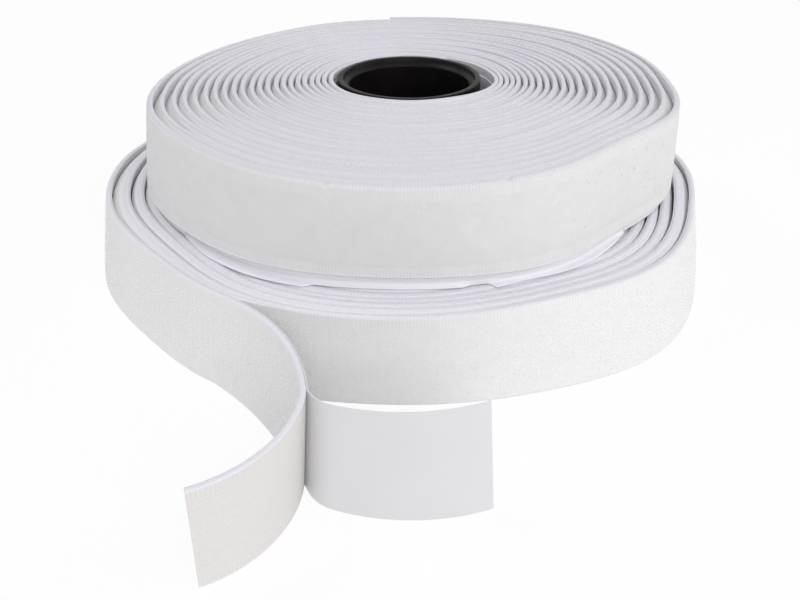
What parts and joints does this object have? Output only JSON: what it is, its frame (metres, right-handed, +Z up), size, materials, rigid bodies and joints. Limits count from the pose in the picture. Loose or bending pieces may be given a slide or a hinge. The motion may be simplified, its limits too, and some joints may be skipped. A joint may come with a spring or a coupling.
{
  "type": "hook and loop tape roll",
  "caption": "Pair of white self-adhesive hook and loop tape rolls, stacked flat on black cores; the lower roll's free end is drawn off and peeled from its release liner.",
  "frame": {"origin": "centre of the footprint of the whole pair with its free end, on the surface that it lies on", "axes": "+Z up along the axes of the rolls, -Y towards the free end, +X to the right seen from the free end"},
  "size_m": [0.1512, 0.187, 0.0425],
  "materials": {
    "core_plastic": "black moulded plastic, satin",
    "hook_fabric": "white woven tape with rows of fine nylon hooks, adhesive on its back",
    "loop_fabric": "white woven tape with a soft loop pile, adhesive on its back",
    "liner_paper": "smooth white release paper, slightly glossy"
  },
  "bodies": {
    "hook_roll": {"hook_core": "core_plastic", "hook_tape": "hook_fabric", "hook_liner": "liner_paper"},
    "loop_core": {"loop_core": "core_plastic"},
    "loop_pack": {"loop_tape": "loop_fabric", "loop_liner": "liner_paper"},
    "hook_tail": {"hook_tape_tail": "hook_fabric", "hook_liner_tail": "liner_paper"},
    "hook_tape_end": {"hook_tape_end": "hook_fabric"},
    "hook_liner_end": {"hook_liner_end": "liner_paper"}
  },
  "joints": [
    {"name": "loop_roll_lift", "type": "slide", "parent": "hook_roll", "child": "loop_core", "axis": [0, 0, 1], "range_m": [0, 0.06]},
    {"name": "loop_roll_turn", "type": "hinge", "parent": "loop_core", "child": "loop_pack", "pos_m": [0.00207, 0.01996, 0.0325], "axis": [0, 0, 1], "continuous": true},
    {"name": "tail_swing", "type": "hinge", "parent": "hook_roll", "child": "hook_tail", "pos_m": [-0.0365, -0.0463, 0.01], "axis": [0, 0, 1], "range_deg": [-70, 5], "stiffness_Nm_per_rad": 0.001},
    {"name": "tape_end_bend", "type": "hinge", "parent": "hook_tail", "child": "hook_tape_end", "pos_m": [-0.0171, -0.07245, 0.01], "axis": [0, 0, 1], "range_deg": [-60, 8], "stiffness_Nm_per_rad": 0.001},
    {"name": "liner_end_peel", "type": "hinge", "parent": "hook_tail", "child": "hook_liner_end", "pos_m": [-0.0144, -0.0721, 0.01], "axis": [0, 0, 1], "range_deg": [-8, 40], "stiffness_Nm_per_rad": 0.0002}
  ]
}
